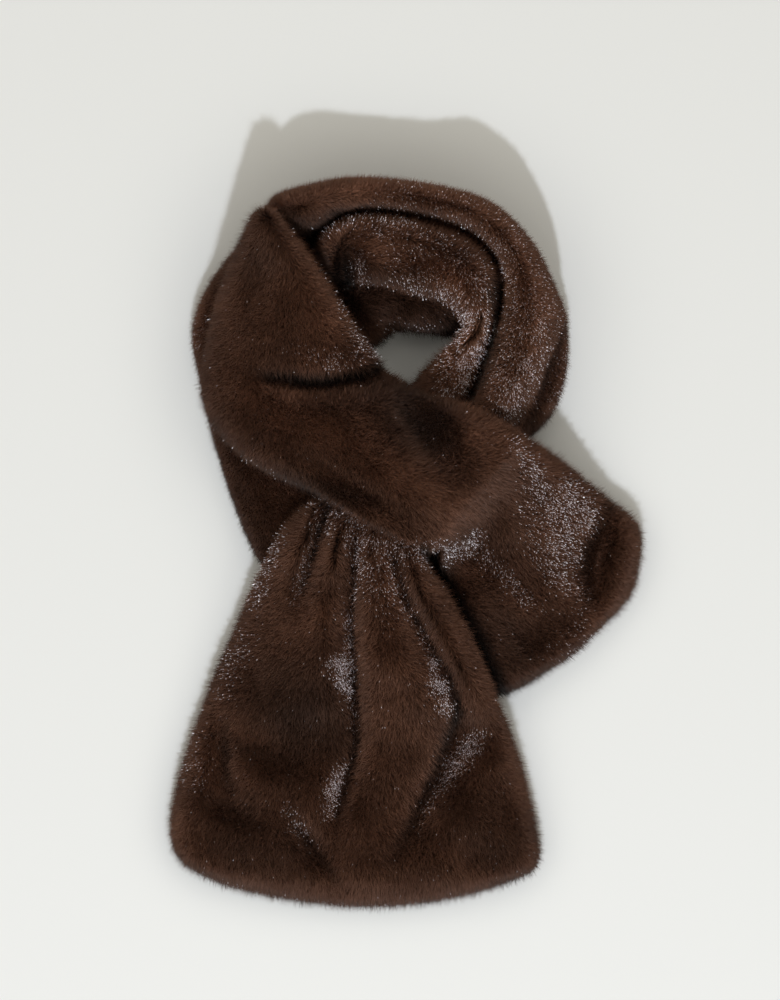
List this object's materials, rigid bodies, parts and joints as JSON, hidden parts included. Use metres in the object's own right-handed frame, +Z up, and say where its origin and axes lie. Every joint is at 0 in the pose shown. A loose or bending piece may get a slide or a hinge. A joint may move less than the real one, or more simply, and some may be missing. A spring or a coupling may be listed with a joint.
{
  "type": "fur collar wrap",
  "caption": "Double-faced faux-fur scarf laid flat, its gathered tail pulled through the slit of the other tail so that the neck closes in a loop.",
  "frame": {"origin": "on the surface that the scarf lies on, under the middle of its bounding box", "axes": "+Z up from the surface; +Y from the two tails towards the neck; +X towards the tail that lies to the side"},
  "size_m": [0.2548, 0.393, 0.0691],
  "materials": {
    "fur": "short dense glossy pile"
  },
  "bodies": {
    "root": {"under_strip": "fur", "collar_inner_fold": "fur", "side_tail": "fur", "collar_inner_roll": "fur", "collar_outer_roll": "fur", "front_tail": "fur", "front_strip": "fur"}
  },
  "joints": []
}
